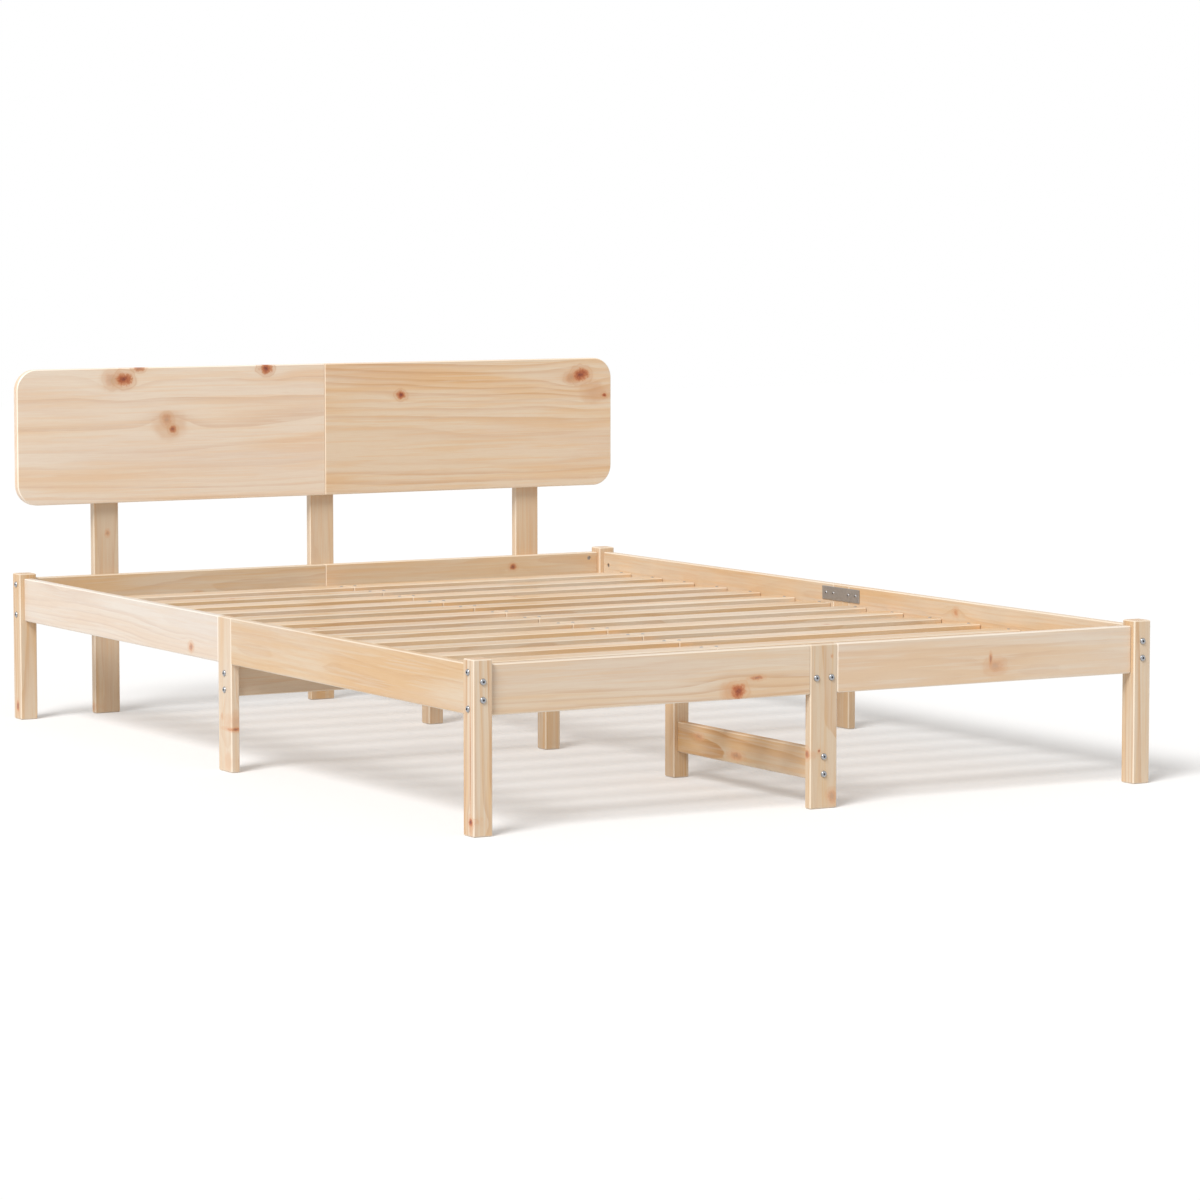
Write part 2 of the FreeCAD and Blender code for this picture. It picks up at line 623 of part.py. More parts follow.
def dowel(name, length):
    body = doc.addObject("PartDesign::Body", name)
    prism(body, "Additive", f"{name}_bar", "bore_flats", "dowel_dia", length)
    return body


short_dowel = dowel("short_dowel_master", "dowel_length")
dowel_places = []
for up in pair(RAIL_MID, "pair_far"):
    for sign in (-1, 1):
        start = f"{sign} * stock_width / 2 - dowel_length / 2"
        dowel_places.append(("+X", start, f"-{LEG_Y}", up))
        for side_sign in (-1, 1):
            dowel_places.append(("+Y", f"{side_sign} * {LEG_X}", start, up))
repeated("rail_dowels", short_dowel, dowel_places)
post_dowel_low = f"{POST_HEIGHT} + dowel_bite - dowel_length"
post_dowel_places = [("+Z", "0", along, post_dowel_low) for along in POST_DOWELS]
repeated("post_dowels", short_dowel, post_dowel_places)
cross_places = [("+X", f"-{CROSS_DOWEL} / 2", "0", up) for up in pair(CROSS_MID, "pair_near")]
repeated("cross_beam_dowels", dowel("long_dowel_master", CROSS_DOWEL), cross_places)


# Steel plates behind the butted rail halves

plate = board("plate_master", ("plate_length", "plate_thick", "plate_height"), ("0", "0", "0"))
exported.remove(plate)
bind(plate.Tip, "Size", "plate_thick / 4")
plate_low = f"{PLATE_MID} - plate_height / 2"
plate_places = [("+Z", "0", f"-{RAIL_IN_Y} + plate_thick / 2", plate_low)]
for side_sign in (-1, 1):
    plate_places.append(("turned", f"{side_sign} * ({RAIL_IN_X} - plate_thick / 2)", "0", plate_low))
repeated("joining_plates", plate, plate_places)


# Everything has to be sound before any file is written

doc.recompute()
for thing in doc.Objects:
    if "Invalid" in thing.State or "Error" in thing.State:
        raise RuntimeError(f"{thing.Name} did not recompute: {thing.State}")
for thing in doc.Objects:
    if thing.TypeId == "PartDesign::SubtractivePrism":
        if thing.Shape.Volume >= thing.BaseFeature.Shape.Volume:
            raise RuntimeError(f"{thing.Name} removes nothing")
for thing in exported:
    if thing.Shape.isNull() or not thing.Shape.isValid():
        raise RuntimeError(f"{thing.Label} has no valid shape")

os.makedirs("parts", exist_ok=True)
for thing in exported:
    thing.Shape.exportStep(f"parts/{thing.Label}.step")
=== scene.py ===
import math

import bmesh
import bpy
from mathutils import Matrix, Vector


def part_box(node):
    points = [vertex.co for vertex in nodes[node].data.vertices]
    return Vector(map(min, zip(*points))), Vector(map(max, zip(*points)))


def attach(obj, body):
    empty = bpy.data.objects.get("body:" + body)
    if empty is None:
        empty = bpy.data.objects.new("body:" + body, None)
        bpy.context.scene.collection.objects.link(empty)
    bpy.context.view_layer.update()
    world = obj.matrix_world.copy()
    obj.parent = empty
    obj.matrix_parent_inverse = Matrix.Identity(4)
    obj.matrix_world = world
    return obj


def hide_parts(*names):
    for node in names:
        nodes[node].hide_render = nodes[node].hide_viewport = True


# A bed frame in a studio: the CAD's boards in pine of their own, with bolts, nuts and screws drawn in full

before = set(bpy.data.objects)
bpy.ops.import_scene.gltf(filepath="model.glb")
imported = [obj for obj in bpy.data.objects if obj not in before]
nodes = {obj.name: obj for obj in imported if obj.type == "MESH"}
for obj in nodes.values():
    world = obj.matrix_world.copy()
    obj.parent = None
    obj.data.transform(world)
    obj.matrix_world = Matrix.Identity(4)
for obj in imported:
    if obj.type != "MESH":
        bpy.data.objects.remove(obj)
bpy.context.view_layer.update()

AXES = "XYZ"

# Camera, fitted to the feet, rails, bolts and headboard in the photograph
CAMERA_PLACE = (-4.3967, -7.8187, 1.1169)
CAMERA_PITCH_DOWN = 5.203
CAMERA_YAW = 30.008
CAMERA_LENS = 134.67
CAMERA_SENSOR = 36.0
CAMERA_SEES_TO = 200

# Light and floor
SUN_FROM = (-0.60, -0.36, 0.70)
SUN_STRENGTH = 2.7
SUN_SPREAD = 25
SKY_STRENGTH = 0.42
SKY_COLOUR = (1.0, 0.985, 0.965, 1)
FLOOR_HALF = 14.0
FLOOR_GAP = 0.0004
FLOOR_COLOUR = (0.80, 0.80, 0.80, 1)
FLOOR_LIFT = 0.2
WHITE = (1, 1, 1, 1)

# Pine, linear colours
PALE_WOOD = (0.765, 0.622, 0.462, 1)
WARM_WOOD = (0.745, 0.500, 0.272, 1)
PINK_WOOD = (0.690, 0.505, 0.372, 1)
HONEY_WOOD = (0.735, 0.455, 0.215, 1)
LATE_WOOD = (0.590, 0.310, 0.125, 1)
# Painted highlight: the pale colour that bevelled edges are mixed toward, standing in for the light that they
# catch
EDGE_HIGHLIGHT = (0.950, 0.860, 0.720, 1)
KNOT_HEART = (0.175, 0.012, 0.001, 1)
KNOT_BODY = (0.440, 0.098, 0.020, 1)
KNOT_RIM = (0.660, 0.310, 0.145, 1)
KNOT_HALO = (0.680, 0.385, 0.200, 1)

# In the wood, knots and steel below, two numbers together are where a smooth step begins and ends, and four
# add the values that it joins. A SCALE is a noise's, per metre, or for knots per radius. An ALONG is the part
# of a length along the grain that a noise counts.

# Pine's rings, in metres, and how a year's late wood begins and ends
RING = 0.0052
RING_BEND = 0.060
RING_BEND_SCALE = 5.0
RING_RIPPLE = 0.0065
RING_RIPPLE_SCALE = 26.0
LATE_BEGINS = (0.35, 0.93)
LATE_ENDS = (1.0, 0.94)
LINE_STRENGTH = 0.55

# How much darker some years and some patches are
YEARS_APART = 0.37
YEAR_SCALE = 3.1
YEAR_DEPTH = (0.35, 0.68, 0.22, 1.0)
PATCH_SCALE = 9.0
PATCH_DEPTH = (0.3, 0.7, 0.35, 1.0)

# Pine's bands, clouds, streaks and fibres, and the colours that they bring
SEEDS_APART = 7.31
SLOW_ALONG = 0.16
THIN_ALONG = 0.03
BAND_ALONG = 0.05
BAND_SCALE = 38.0
BAND_WARM = (0.38, 0.66)
BAND_HONEY = (0.54, 0.72, 0.0, 0.6)
CLOUD_SCALE = 12.0
CLOUD_PINK = (0.42, 0.75, 0.0, 0.5)
STREAK_SCALE = 170.0
STREAK_WARM = (0.46, 0.68, 0.0, 0.55)
STREAK_PALE = (0.52, 0.34, 0.0, 0.45)
FIBRE_SCALE = 900.0
FIBRE_DARK = (0.38, 0.75, 0.0, 0.14)

# Ends and bevelled edges: which way they face, how dark end grain is, and how pale the painted highlight on
# edges is
END_FACES = (0.35, 0.85)
END_DARK = 0.28
HIGHLIGHT_EDGE_FACES = (0.95, 0.80)
EDGE_HIGHLIGHT_SHARE = 0.55
ROUND_HIGHLIGHT_EDGE_FACES = (0.1, 0.4)

# Pine's finish
COAT_WEIGHT = 0.25
COAT_ROUGHNESS = 0.28
FIBRE_ROUGHNESS = (0.3, 0.7, 0.40, 0.54)
GRAIN_RELIEF = 0.25
GRAIN_HIGH = 0.0003
LATE_SHARE_HIGH = 0.7
FIBRE_SHARE_HIGH = 0.3

# How far off the pith lies, for boards cut from different places in a log
PITH_NEAR = 0.055
PITH_SPREAD = 0.035
PITH_PLACES = 4
PITH_TURN = 2.399963
PITH_BESIDE = 0.4
PITH_BELOW = 0.55
SEED_FIRST = 0.3
SEED_STEP = 0.617

# How a knot counts lengths: along its own axis, and for the rings' flow round it also along the grain
KNOT_THROUGH = 0.3
FLOW_THROUGH = 0.2
FLOW_ALONG = 0.45

# A knot in its own radii: how far the rings flow round it and how much they give way, its wavy and ragged
# outline, where its colours change, and what it covers. The palest stain does STAIN_SHARE of what a knot does
FLOW_REACH = 2.1
FLOW_LEVELS = 0.8
FLOW_PUSHES = 0.35
STAIN_SHARE = 0.4
WAVES_SCALE = 0.8
WAVES_HIGH = 0.9
RAGS_SCALE = 3.5
RAGS_HIGH = 0.8
BODY_FROM = (0.05, 0.55)
RIM_FROM = (0.4, 1.0)
HALO_FROM = (0.95, 1.25)
KNOT_COVERS = (1.2, 0.8, 0.0, 0.95)
HALO_COVERS = (2.0, 0.9, 0.0, 0.45)
OUTLINE_AT = 1.45
OUTLINE_COVERS = (0.16, 0.0, 0.0, 0.3)

# Brightness of the boards, its middle and its spread, and of the slats and ledgers
TONE = (0.96, 0.03)
INNER_TONE = (0.94, 0.04)

# Beech for the dowels: its pith from a dowel's centre, its first seed and its looks
BEECH_HEART = Vector((0, 0.02, 0.03))
BEECH_SEED = 9.5
BEECH = dict(ring=0.003, strength=0.3, tone=0.9)

# Steel: its linear colour, its roughness and how strong its marks are
PLATE_STEEL = ((0.42, 0.42, 0.43, 1), 0.36, 0.2)
BOLT_STEEL = ((0.40, 0.41, 0.43, 1), 0.22, 0.08)
# Painted shade: the dark steel on the faces inside bolt sockets and screw crosses stands in for the shade in
# these recesses
SOCKET_SHADE_STEEL = ((0.10, 0.10, 0.11, 1), 0.40, 0.1)
STAINED_STEEL = 0.7
STAIN_SCALE = 240.0
STAIN_COVERS = (0.35, 0.7, 0.0, 0.25)
MARKS_SCALE = 2600.0
MARKS_SPREAD = (0.3, 0.7)
MARKS_SMOOTHEST = -0.06
MARKS_ROUGHEST = 0.08
MARKS_HIGH = 0.00005

# Small hardware that is drawn in full here, metres. A share is of the radius that it follows
BOLT_SIDES = 48
SHANK_TIP_SHARE = 0.8
SHANK_EASE_SHARE = 0.2
HEAD_RIM = 0.0008
HEAD_STEPS = 6
HEAD_REACHES_PAST = 0.0045
SOCKET_RADIUS = 0.0023
SOCKET_SLOPE = 0.0004
SOCKET_DEEP = 0.002
SOCKET_TIP_RADIUS = 0.0004
SOCKET_TIP_DEEP = 0.0026
BOLT_TURN = 0.7
NUT_SIDES = 24
NUT_RADIUS = 0.0049
NUT_EASE = 0.0004
NUT_SLOT_REACH = 0.0036
NUT_SLOT_WIDE = 0.0014
NUT_SLOT_DEEP = 0.0012
SCREW_SIDES = 48
SCREW_STEPS = 4
SCREW_HEAD_RADIUS = 0.0038
SCREW_HEAD_HIGH = 0.0009
SCREW_NECK_SHARE = 0.6
SCREW_SINK = 0.0004
SCREW_CROSS = 0.0024
SCREW_CROSS_WIDE = 0.0009
SCREW_CROSS_DEEP = 0.0006
SCREW_MOUTH_SHARE = 1.05
SCREW_CROSS_TOP_SHARE = 0.92
SCREW_CROSS_FOOT_SHARE = 0.8
SCREW_TURN = 1.13

# Places of the screws, metres from the edges of what they hold
LEDGER_SCREWS = 5
BEAM_SCREW_ASIDE = 0.002
PANEL_SCREW_UP = 0.04
POST_SCREW_DOWN = 0.03
RAIL_SCREW_DOWN = 0.02
PLATE_SCREW_SHARES = (-0.8, -0.4, 0.4, 0.8)

# Meshes: edges sharper than this stay sharp, points closer than these are one, and less than this is nothing
SHARP_FROM = math.radians(32)
WELD = 1e-7
CAD_WELD = 1e-6
NEARLY_NOTHING = 1e-6


# Shader nodes

class Graph:
    """Adds nodes to one node tree and links them. A value is a socket or a plain number, colour or vector."""

    def __init__(self, tree):
        self.tree = tree

    def add(self, kind, **settings):
        node = self.tree.nodes.new(kind)
        for name, value in settings.items():
            setattr(node, name, value)
        return node

    def feed(self, value, socket):
        if isinstance(value, bpy.types.NodeSocket):
            self.tree.links.new(value, socket)
        else:
            socket.default_value = value

    def feed_all(self, values, node):
        for value, socket in zip(values, node.inputs):
            self.feed(value, socket)

    def math(self, operation, *values, clamp=False):
        node = self.add("ShaderNodeMath", operation=operation, use_clamp=clamp)
        self.feed_all(values, node)
        return node.outputs[0]

    def plus(self, first, second, clamp=False):
        return self.math("ADD", first, second, clamp=clamp)

    def minus(self, first, second):
        return self.math("SUBTRACT", first, second)

    def times(self, first, second):
        return self.math("MULTIPLY", first, second)

    def over(self, first, second):
        return self.math("DIVIDE", first, second)

    def vector(self, operation, *values):
        node = self.add("ShaderNodeVectorMath", operation=operation)
        self.feed_all(values, node)
        return node.outputs["Value" if operation == "LENGTH" else "Vector"]

    def length(self, vector):
        return self.vector("LENGTH", vector)

    def parts(self, vector):
        """A vector's parts by the letter of their axis."""
        node = self.add("ShaderNodeSeparateXYZ")
        self.feed(vector, node.inputs[0])
        return dict(zip(AXES, node.outputs))

    def join(self, x, y, z):
        node = self.add("ShaderNodeCombineXYZ")
        self.feed_all((x, y, z), node)
        return node.outputs[0]

    def noise(self, vector, scale, detail=2.0, roughness=0.5):
        node = self.add("ShaderNodeTexNoise")
        self.feed(vector, node.inputs["Vector"])
        self.feed(scale, node.inputs["Scale"])
        node.inputs["Detail"].default_value = detail
        node.inputs["Roughness"].default_value = roughness
        return node.outputs["Fac"]

    def sway(self, vector, scale, detail=2.0, roughness=0.5):
        """Noise round zero."""
        return self.minus(self.noise(vector, scale, detail, roughness), 0.5)

    def span(self, value, low, high, to_low=0.0, to_high=1.0):
        """A smooth step from to_low where the value is low to to_high where it is high."""
        node = self.add("ShaderNodeMapRange", interpolation_type="SMOOTHSTEP")
        self.feed_all((value, low, high, to_low, to_high), node)
        return node.outputs[0]

    def mix(self, share, first, second):
        node = self.add("ShaderNodeMix", data_type="RGBA")
        self.feed(share, node.inputs["Factor"])
        self.feed(first, node.inputs[6])
        self.feed(second, node.inputs[7])
        return node.outputs[2]

    def group(self, tree, values):
        """The outputs of a node group whose inputs are fed by name."""
        node = self.add("ShaderNodeGroup", node_tree=tree)
        for label, value in values.items():
            self.feed(value, node.inputs[label])
        return node.outputs


def new_group(name, inputs, outputs):
    """A node group with the sockets given as (name, kind) pairs, its graph, and its two ends."""
    group = bpy.data.node_groups.new(name, "ShaderNodeTree")
    for direction, sockets in (("INPUT", inputs), ("OUTPUT", outputs)):
        for label, kind in sockets:
            group.interface.new_socket(label, in_out=direction, socket_type=f"NodeSocket{kind}")
    graph = Graph(group)
    return group, graph, graph.add("NodeGroupInput").outputs, graph.add("NodeGroupOutput").inputs


def knot_group():
    """A branch through the board: how it pushes the rings aside, where it covers them, and its colour.

    Rise is how much further from the log's heart a point is than the knot. Depth is 1 for a dark red knot and
    near 0 for a pale stain. Shape and torn are distances from its centre in radii, with a wavy and with a
    ragged outline.
    """
    group, g, given, result = new_group(
        "pine_knot",
        [
            ("Place", "Vector"), ("Centre", "Vector"), ("Stretch", "Vector"), ("Flow", "Vector"),
            ("Rise", "Float"), ("Radius", "Float"), ("Depth", "Float"),
        ],
        [("Pull", "Float"), ("Cover", "Float"), ("Colour", "Color")],
    )
    place, radius, depth = given["Place"], given["Radius"], given["Depth"]
    offset = g.vector("SUBTRACT", place, given["Centre"])

    def reach(stretch):
        """The distance from the knot's centre as a share of its radius."""
        return g.over(g.length(g.vector("MULTIPLY", offset, stretch)), radius)

    waves = g.sway(place, g.over(WAVES_SCALE, radius), detail=1.0)
    rags = g.sway(place, g.over(RAGS_SCALE, radius), detail=3.0, roughness=0.6)
    shape = g.plus(reach(given["Stretch"]), g.times(waves, WAVES_HIGH))
    torn = g.plus(shape, g.times(rags, RAGS_HIGH))
    work = g.plus(g.times(depth, 1 - STAIN_SHARE), STAIN_SHARE)

    far = g.over(reach(given["Flow"]), FLOW_REACH)
    fall = g.math("POWER", math.e, g.times(g.times(far, far), -1.0))
    aside = g.plus(g.times(given["Rise"], -FLOW_LEVELS), g.times(radius, FLOW_PUSHES))
    g.feed(g.times(g.times(fall, work), aside), result["Pull"])

    colour = g.mix(g.span(torn, *BODY_FROM), KNOT_HEART, KNOT_BODY)
    colour = g.mix(g.span(torn, *RIM_FROM), colour, KNOT_RIM)
    colour = g.mix(g.span(shape, *HALO_FROM), colour, KNOT_HALO)
    g.feed(g.mix(depth, KNOT_HALO, colour), result["Colour"])

    solid = g.times(g.span(torn, *KNOT_COVERS), work)
    halo = g.span(shape, *HALO_COVERS)
    outline = g.span(g.math("ABSOLUTE", g.minus(shape, OUTLINE_AT)), *OUTLINE_COVERS)
    g.feed(g.plus(g.math("MAXIMUM", solid, halo), g.times(outline, depth), clamp=True), result["Cover"])
    return group


def wood_group():
    """Pine round a heart that runs along the board: bands, late wood lines, fibres, end grain and a painted
    highlight on bevelled edges.
    """
    group, g, given, result = new_group(
        "pine_wood",
        [
            ("Place", "Vector"), ("Heart", "Vector"), ("Seed", "Float"), ("Ring", "Float"),
            ("Pull", "Float"), ("Strength", "Float"), ("End", "Float"), ("Edge", "Float"),
        ],
        [("Colour", "Color"), ("Roughness", "Float"), ("Height", "Float")],
    )
    along, across, through = g.parts(given["Place"]).values()
    shifted = g.plus(along, g.times(given["Seed"], SEEDS_APART))

    def drawn_out(share):
        """The place with its length along the grain cut to a share, which draws out what is put there."""
        return g.join(g.times(shifted, share), across, through)

    slow = drawn_out(SLOW_ALONG)
    bend = g.times(g.sway(slow, RING_BEND_SCALE), RING_BEND)
    ripple = g.times(g.sway(slow, RING_RIPPLE_SCALE, detail=3.0), RING_RIPPLE)
    radius = g.length(g.vector("SUBTRACT", g.join(0.0, across, through), given["Heart"]))
    radius = g.plus(g.plus(radius, bend), g.plus(ripple, given["Pull"]))

    phase = g.over(radius, given["Ring"])
    growth = g.math("FRACT", phase)
    year = g.math("FLOOR", phase)
    line = g.times(g.span(growth, *LATE_BEGINS), g.span(growth, *LATE_ENDS))
    uneven = g.noise(g.join(g.times(year, YEARS_APART), given["Seed"], 0.0), YEAR_SCALE, detail=0.0)
    patch = g.noise(slow, PATCH_SCALE)
    deep = g.times(g.span(uneven, *YEAR_DEPTH), g.span(patch, *PATCH_DEPTH))
    late = g.times(g.times(line, deep), given["Strength"])

    band = g.noise(g.join(g.times(shifted, BAND_ALONG), radius, given["Seed"]), BAND_SCALE, detail=1.0)
    cloud = g.noise(slow, CLOUD_SCALE, detail=3.0)
    thin = drawn_out(THIN_ALONG)
    streak = g.noise(thin, STREAK_SCALE, roughness=0.6)
    fibre = g.noise(thin, FIBRE_SCALE, detail=3.0, roughness=0.65)
    colour = g.mix(g.span(band, *BAND_WARM), PALE_WOOD, WARM_WOOD)
    for share, wood in (
        (g.span(band, *BAND_HONEY), HONEY_WOOD),
        (g.span(cloud, *CLOUD_PINK), PINK_WOOD),
        (late, LATE_WOOD),
        (g.span(streak, *STREAK_WARM), WARM_WOOD),
        (g.span(streak, *STREAK_PALE), PALE_WOOD),
        (g.span(fibre, *FIBRE_DARK), LATE_WOOD),
        (g.times(given["End"], END_DARK), LATE_WOOD),
        # Painted highlight: bevelled edges are mixed toward a pale colour, standing in for the light that
        # they catch
        (g.times(given["Edge"], EDGE_HIGHLIGHT_SHARE), EDGE_HIGHLIGHT),
    ):
        colour = g.mix(share, colour, wood)
    g.feed(colour, result["Colour"])
    g.feed(g.span(fibre, *FIBRE_ROUGHNESS), result["Roughness"])
    height = g.plus(g.times(late, LATE_SHARE_HIGH), g.times(fibre, FIBRE_SHARE_HIGH))
    g.feed(height, result["Height"])
    return group


KNOT = knot_group()
WOOD = wood_group()


# Materials

def new_material(name):
    """A material, the graph of its nodes and its shader."""
    material = bpy.data.materials.new(name)
    material.use_nodes = True
    return material, Graph(material.node_tree), material.node_tree.nodes["Principled BSDF"]


def add_relief(g, shader, height, strength, high):
    bump = g.add("ShaderNodeBump")
    bump.inputs["Strength"].default_value = strength
    bump.inputs["Distance"].default_value = high
    g.feed(height, bump.inputs["Height"])
    g.feed(bump.outputs[0], shader.inputs["Normal"])


def knot(place, axis, radius, depth, long=1.25):
    """A knot's place on the board, the axis that it runs along, its size and depth of colour.

    Long is its length along the board's grain as a share of its height across.
    """
    return place, axis, radius, depth, long


def pine(
    name, grain, centre, heart, seed,
    ring=RING, strength=LINE_STRENGTH, tone=1.0, vivid=1.0, knots=(), flow=1.0, round_axis=None,
):
    """The wood of one board. Grain is its axis and heart the pith's place from the board's centre.

    Strength is how dark the late wood is. Tone and vivid scale the brightness and the depth of colour. Flow
    is how much the rings give way to the knots, of which a later one lies over an earlier one. A board whose
    outline is round about an axis has the painted highlight of its bevelled edges only where its faces along
    that axis end.
    """
    material, g, shader = new_material(name)
    coordinates = g.add("ShaderNodeTexCoord").outputs
    place = coordinates["Object"]
    axes = g.parts(g.vector("SUBTRACT", place, centre))
    facing = {axis: g.math("ABSOLUTE", part) for axis, part in g.parts(coordinates["Normal"]).items()}
    end = g.span(facing[grain], *END_FACES)
    squarest = g.math("MAXIMUM", g.math("MAXIMUM", facing["X"], facing["Y"]), facing["Z"])
    # Painted highlight: the mask of bevelled edges, whose faces lie between two axes
    edge = g.span(squarest, *HIGHLIGHT_EDGE_FACES)
    if round_axis:
        edge = g.times(edge, g.span(facing[round_axis], *ROUND_HIGHLIGHT_EDGE_FACES))

    across, through = AXES.replace(grain, "")
    from_heart = g.length(g.vector("SUBTRACT", g.join(0.0, axes[across], axes[through]), heart))
    pull = 0.0
    branches = []
    for spot, axis, radius, depth, long in knots:
        offset = dict(zip(AXES, Vector(spot) - centre))
        spot_from_heart = (Vector((0, offset[across], offset[through])) - heart).length
        branch = g.group(KNOT, {
            "Place": place,
            "Centre": spot,
            "Stretch": [KNOT_THROUGH if a == axis else 1 / long if a == grain else 1.0 for a in AXES],
            "Flow": [FLOW_THROUGH if a == axis else FLOW_ALONG if a == grain else 1.0 for a in AXES],
            "Rise": g.minus(from_heart, spot_from_heart),
            "Radius": radius,
            "Depth": depth,
        })
        pull = g.plus(pull, branch["Pull"])
        branches.append(branch)
    if branches:
        pull = g.times(pull, flow)

    wood = g.group(WOOD, {
        "Place": g.join(axes[grain], axes[across], axes[through]), "Heart": heart, "Seed": seed, "Ring": ring,
        "Pull": pull, "Strength": strength, "End": end, "Edge": edge,
    })
    toned = g.add("ShaderNodeHueSaturation")
    toned.inputs["Value"].default_value = tone
    toned.inputs["Saturation"].default_value = vivid
    g.feed(wood["Colour"], toned.inputs["Color"])
    colour = toned.outputs[0]
    for branch in branches:
        colour = g.mix(branch["Cover"], colour, branch["Colour"])
    g.feed(colour, shader.inputs["Base Color"])
    g.feed(wood["Roughness"], shader.inputs["Roughness"])
    shader.inputs["Coat Weight"].default_value = COAT_WEIGHT
    shader.inputs["Coat Roughness"].default_value = COAT_ROUGHNESS
    add_relief(g, shader, wood["Height"], GRAIN_RELIEF, GRAIN_HIGH)
    return material


def metal(name, colour, roughness, brushed):
    """Bright plated steel with fine marks. Brushed is how strong the marks are."""
    material, g, shader = new_material(name)
    shader.inputs["Metallic"].default_value = 1.0
    place = g.add("ShaderNodeTexCoord").outputs["Object"]
    marks = g.noise(place, MARKS_SCALE, detail=3.0, roughness=0.7)
    stain = g.span(g.noise(place, STAIN_SCALE), *STAIN_COVERS)
    stained = tuple(STAINED_STEEL * part for part in colour[:3]) + (1,)
    g.feed(g.mix(stain, colour, stained), shader.inputs["Base Color"])
    uneven = g.span(marks, *MARKS_SPREAD, roughness + MARKS_SMOOTHEST, roughness + MARKS_ROUGHEST)
    g.feed(uneven, shader.inputs["Roughness"])
    add_relief(g, shader, marks, brushed, MARKS_HIGH)
    return material


# Knots that the photograph shows, and some in keeping on boards that it hides

KNOTS = {
    "headboard_panel_left": [
        knot((-0.505, 0.9995, 0.7165), "Y", 0.0150, 0.35),
        knot((-0.478, 0.9995, 0.717), "Y", 0.0150, 1.0),
        knot((-0.443, 0.9995, 0.739), "Y", 0.0070, 0.8, 1.8),
        knot((-0.143, 0.9995, 0.733), "Y", 0.0118, 1.0),
        knot((-0.372, 0.9995, 0.614), "Y", 0.0200, 0.0, 1.3),
        knot((-0.378, 0.9995, 0.628), "Y", 0.0120, 0.45, 1.0),
        knot((-0.365, 0.9995, 0.607), "Y", 0.0090, 0.9, 1.0),
    ],
    "headboard_panel_right": [
        knot((0.188, 0.9995, 0.668), "Y", 0.0098, 1.0),
        knot((0.676, 0.9995, 0.664), "Y", 0.0170, 0.15),
        knot((0.700, 0.9995, 0.659), "Y", 0.0120, 0.0, 1.8),
        knot((0.620, 0.9995, 0.698), "Y", 0.0110, 0.5),
        knot((0.646, 0.9995, 0.703), "Y", 0.0160, 1.0),
        knot((0.707, 0.9995, 0.656), "Y", 0.0055, 1.0),
    ],
    "foot_rail_left": [
        knot((-0.203, -1.0175, 0.2255), "Y", 0.0125, 0.25, 1.0),
        knot((-0.183, -1.0175, 0.2240), "Y", 0.0140, 1.0),
        knot((-0.143, -1.0175, 0.2465), "Y", 0.0042, 0.75, 3.4),
    ],
    "foot_rail_right": [
        knot((0.378, -1.0175, 0.2405), "Y", 0.0125, 0.38, 1.5),
        knot((0.367, -1.0175, 0.2540), "Y", 0.0105, 0.65, 0.3),
    ],
    "leg_board_foot": [
        knot((0.017, -1.0175, 0.2776), "Y", 0.0024, 0.5),
        knot((-0.010, -1.0175, 0.1058), "Y", 0.0026, 0.9),
        knot((0.0185, -1.0175, 0.0205), "Y", 0.0092, 0.45),
        knot((-0.029, -1.0068, 0.1004), "X", 0.0075, 0.8),
    ],
    "leg_front_left": [
        knot((-0.7275, -1.0165, 0.1290), "X", 0.0020, 0.60, 48.0),
        knot((-0.7275, -1.0168, 0.0150), "X", 0.0050, 0.3, 2.0),
        knot((-0.7275, -1.0160, 0.0260), "X", 0.0080, 1.0, 1.05),
    ],
    "leg_rear_left": [knot((-0.7275, 1.0070, 0.0275), "X", 0.0065, 0.9, 2.0)],
    "side_rail_left_rear": [knot((-0.7175, 0.1527, 0.2284), "X", 0.0085, 0.7)],
    "leg_board_left": [
        knot((-0.7175, -0.0140, 0.0210), "X", 0.0090, 0.0, 1.4),
        knot((-0.7175, 0.0120, 0.1060), "X", 0.0038, 0.2),
        knot((-0.7075, -0.0290, 0.0990), "Y", 0.0090, 0.25, 1.6),
        knot((-0.7085, -0.0290, 0.0840), "Y", 0.0110, 0.8, 0.35),
    ],
    "side_rail_right_rear": [knot((0.7175, 0.610, 0.245), "X", 0.0095, 0.9)],
    "side_rail_right_front": [knot((0.7175, -0.420, 0.276), "X", 0.0080, 0.7)],
    "foot_brace": [
        knot((-0.009, -0.595, 0.088), "X", 0.0060, 0.45, 2.5),
        knot((-0.009, -0.730, 0.066), "X", 0.0075, 0.55, 3.0),
    ],
    "cross_beam_left": [knot((-0.42, 0.0, 0.176), "Y", 0.0080, 0.9)],
    "cross_beam_right": [knot((0.30, 0.0, 0.163), "Y", 0.0070, 0.7)],
    "head_rail_left": [knot((-0.31, 1.0, 0.243), "Y", 0.0090, 0.8)],
    "head_rail_right": [knot((0.47, 1.0, 0.275), "Y", 0.0075, 0.9)],
    "headboard_post_left": [
        knot((-0.5125, 1.0175, 0.387), "Y", 0.0050, 0.5),
        knot((-0.5445, 1.0265, 0.0140), "X", 0.0060, 0.5, 1.5),
    ],
    "headboard_post_right": [knot((0.5125, 1.0175, 0.131), "Y", 0.0065, 0.9)],
    "centre_beam_foot": [knot((0.004, -0.35, 0.239), "Z", 0.0080, 0.8)],
    "centre_beam_head": [knot((-0.008, 0.61, 0.239), "Z", 0.0070, 0.9)],
}

# Slats with a knot: the row, the side, its place along the slat as a share, and across it
SLAT_KNOTS = {
    2: (-1, 0.35, 0.2), 5: (1, 0.62, -0.25), 8: (-1, 0.7, 0.1), 11: (1, 0.28, 0.3), 13: (-1, 0.5, -0.2),
}
SLAT_KNOT_RADIUS = 0.0065
SLAT_KNOT_DEPTH = 0.8

